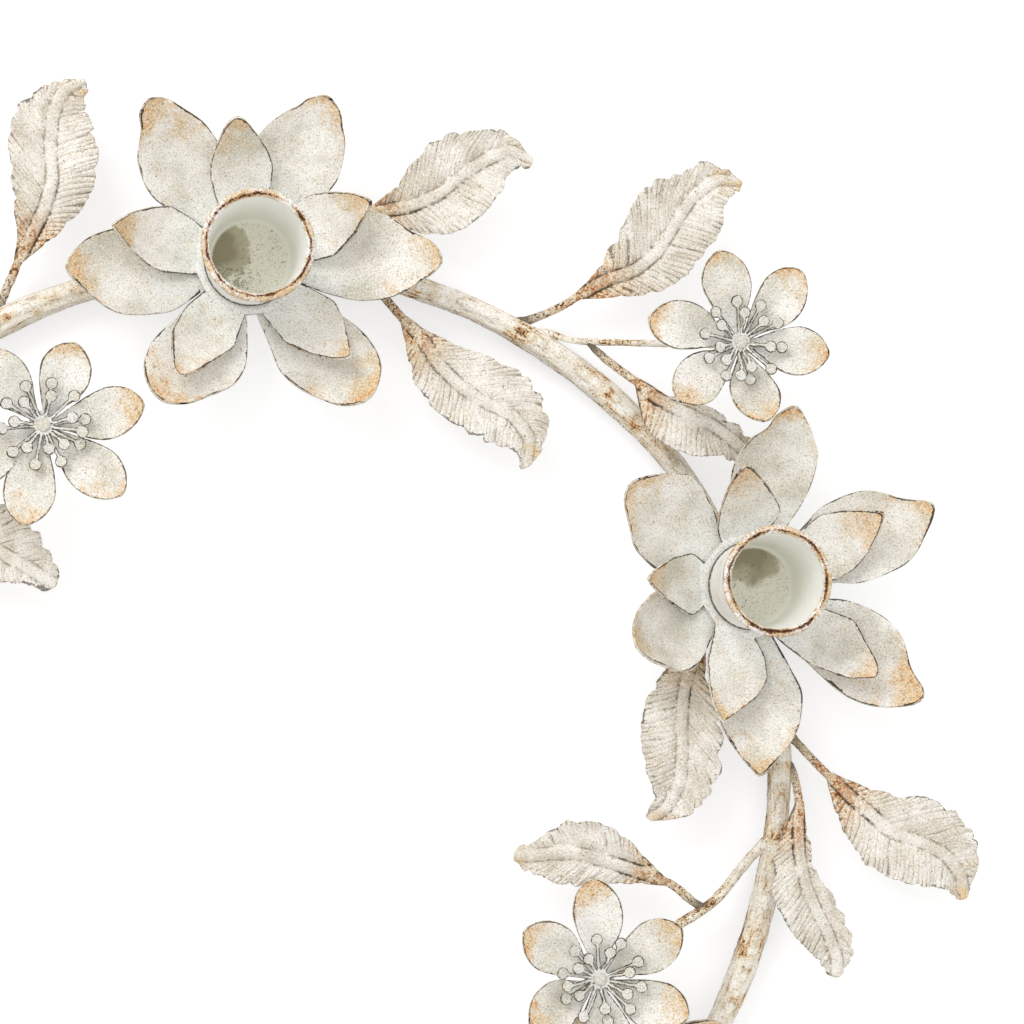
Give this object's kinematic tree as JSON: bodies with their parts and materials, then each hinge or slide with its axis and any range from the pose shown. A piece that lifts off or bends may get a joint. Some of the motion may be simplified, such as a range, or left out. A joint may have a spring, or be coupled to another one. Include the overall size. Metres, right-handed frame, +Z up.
{
  "type": "candle holder",
  "caption": "Flat wreath of leafy metal branches that carries sheet-metal flowers, each with a cup for a dinner candle.",
  "frame": {"origin": "middle of the wreath, on the surface that its feet stand on", "axes": "+Z up out of the candle cups; +X and +Y lie in the table, with the first flower close to +Y"},
  "size_m": [0.3336, 0.326, 0.0362],
  "materials": {
    "washed_sheet": "chalky whitewash over sheet steel, worn to brown at the edges with rust-orange tips",
    "washed_casting": "whitewash over a veined casting, with rust-brown wash left in the hollows",
    "branch_wash": "matt cream and tan wash over a bark-textured casting",
    "cup_wash": "matt whitewash, grey-green inside, with a worn brown rim",
    "stamen_wash": "pale grey-white wash with dark outlines",
    "nut_steel": "plain zinc-plated steel"
  },
  "bodies": {
    "root": {"branch_1": "branch_wash", "branch_2": "branch_wash", "branch_3": "branch_wash", "branch_4": "branch_wash", "branch_5": "branch_wash", "outer_petals_1": "washed_sheet", "outer_petals_2": "washed_sheet", "outer_petals_3": "washed_sheet", "outer_petals_4": "washed_sheet", "outer_petals_5": "washed_sheet", "inner_petals_1": "washed_sheet", "inner_petals_2": "washed_sheet", "inner_petals_3": "washed_sheet", "inner_petals_4": "washed_sheet", "inner_petals_5": "washed_sheet", "candle_cup_1": "cup_wash", "candle_cup_2": "cup_wash", "candle_cup_3": "cup_wash", "candle_cup_4": "cup_wash", "candle_cup_5": "cup_wash", "cup_nut_1": "nut_steel", "cup_nut_2": "nut_steel", "cup_nut_3": "nut_steel", "cup_nut_4": "nut_steel", "cup_nut_5": "nut_steel", "blossom_stem_1": "branch_wash", "blossom_stem_2": "branch_wash", "blossom_stem_3": "branch_wash", "blossom_stem_4": "branch_wash", "blossom_stem_5": "branch_wash", "blossom_petals_1": "washed_sheet", "blossom_petals_2": "washed_sheet", "blossom_petals_3": "washed_sheet", "blossom_petals_4": "washed_sheet", "blossom_petals_5": "washed_sheet", "blossom_stamens_1": "stamen_wash", "blossom_stamens_2": "stamen_wash", "blossom_stamens_3": "stamen_wash", "blossom_stamens_4": "stamen_wash", "blossom_stamens_5": "stamen_wash", "leaf_1a": "washed_casting", "leaf_1b": "washed_casting", "leaf_1c": "washed_casting", "leaf_1d": "washed_casting", "leaf_2a": "washed_casting", "leaf_2b": "washed_casting", "leaf_2c": "washed_casting", "leaf_2d": "washed_casting", "leaf_3a": "washed_casting", "leaf_3b": "washed_casting", "leaf_3c": "washed_casting", "leaf_3d": "washed_casting", "leaf_4a": "washed_casting", "leaf_4b": "washed_casting", "leaf_4c": "washed_casting", "leaf_4d": "washed_casting", "leaf_5a": "washed_casting", "leaf_5b": "washed_casting", "leaf_5c": "washed_casting", "leaf_5d": "washed_casting"}
  },
  "joints": []
}
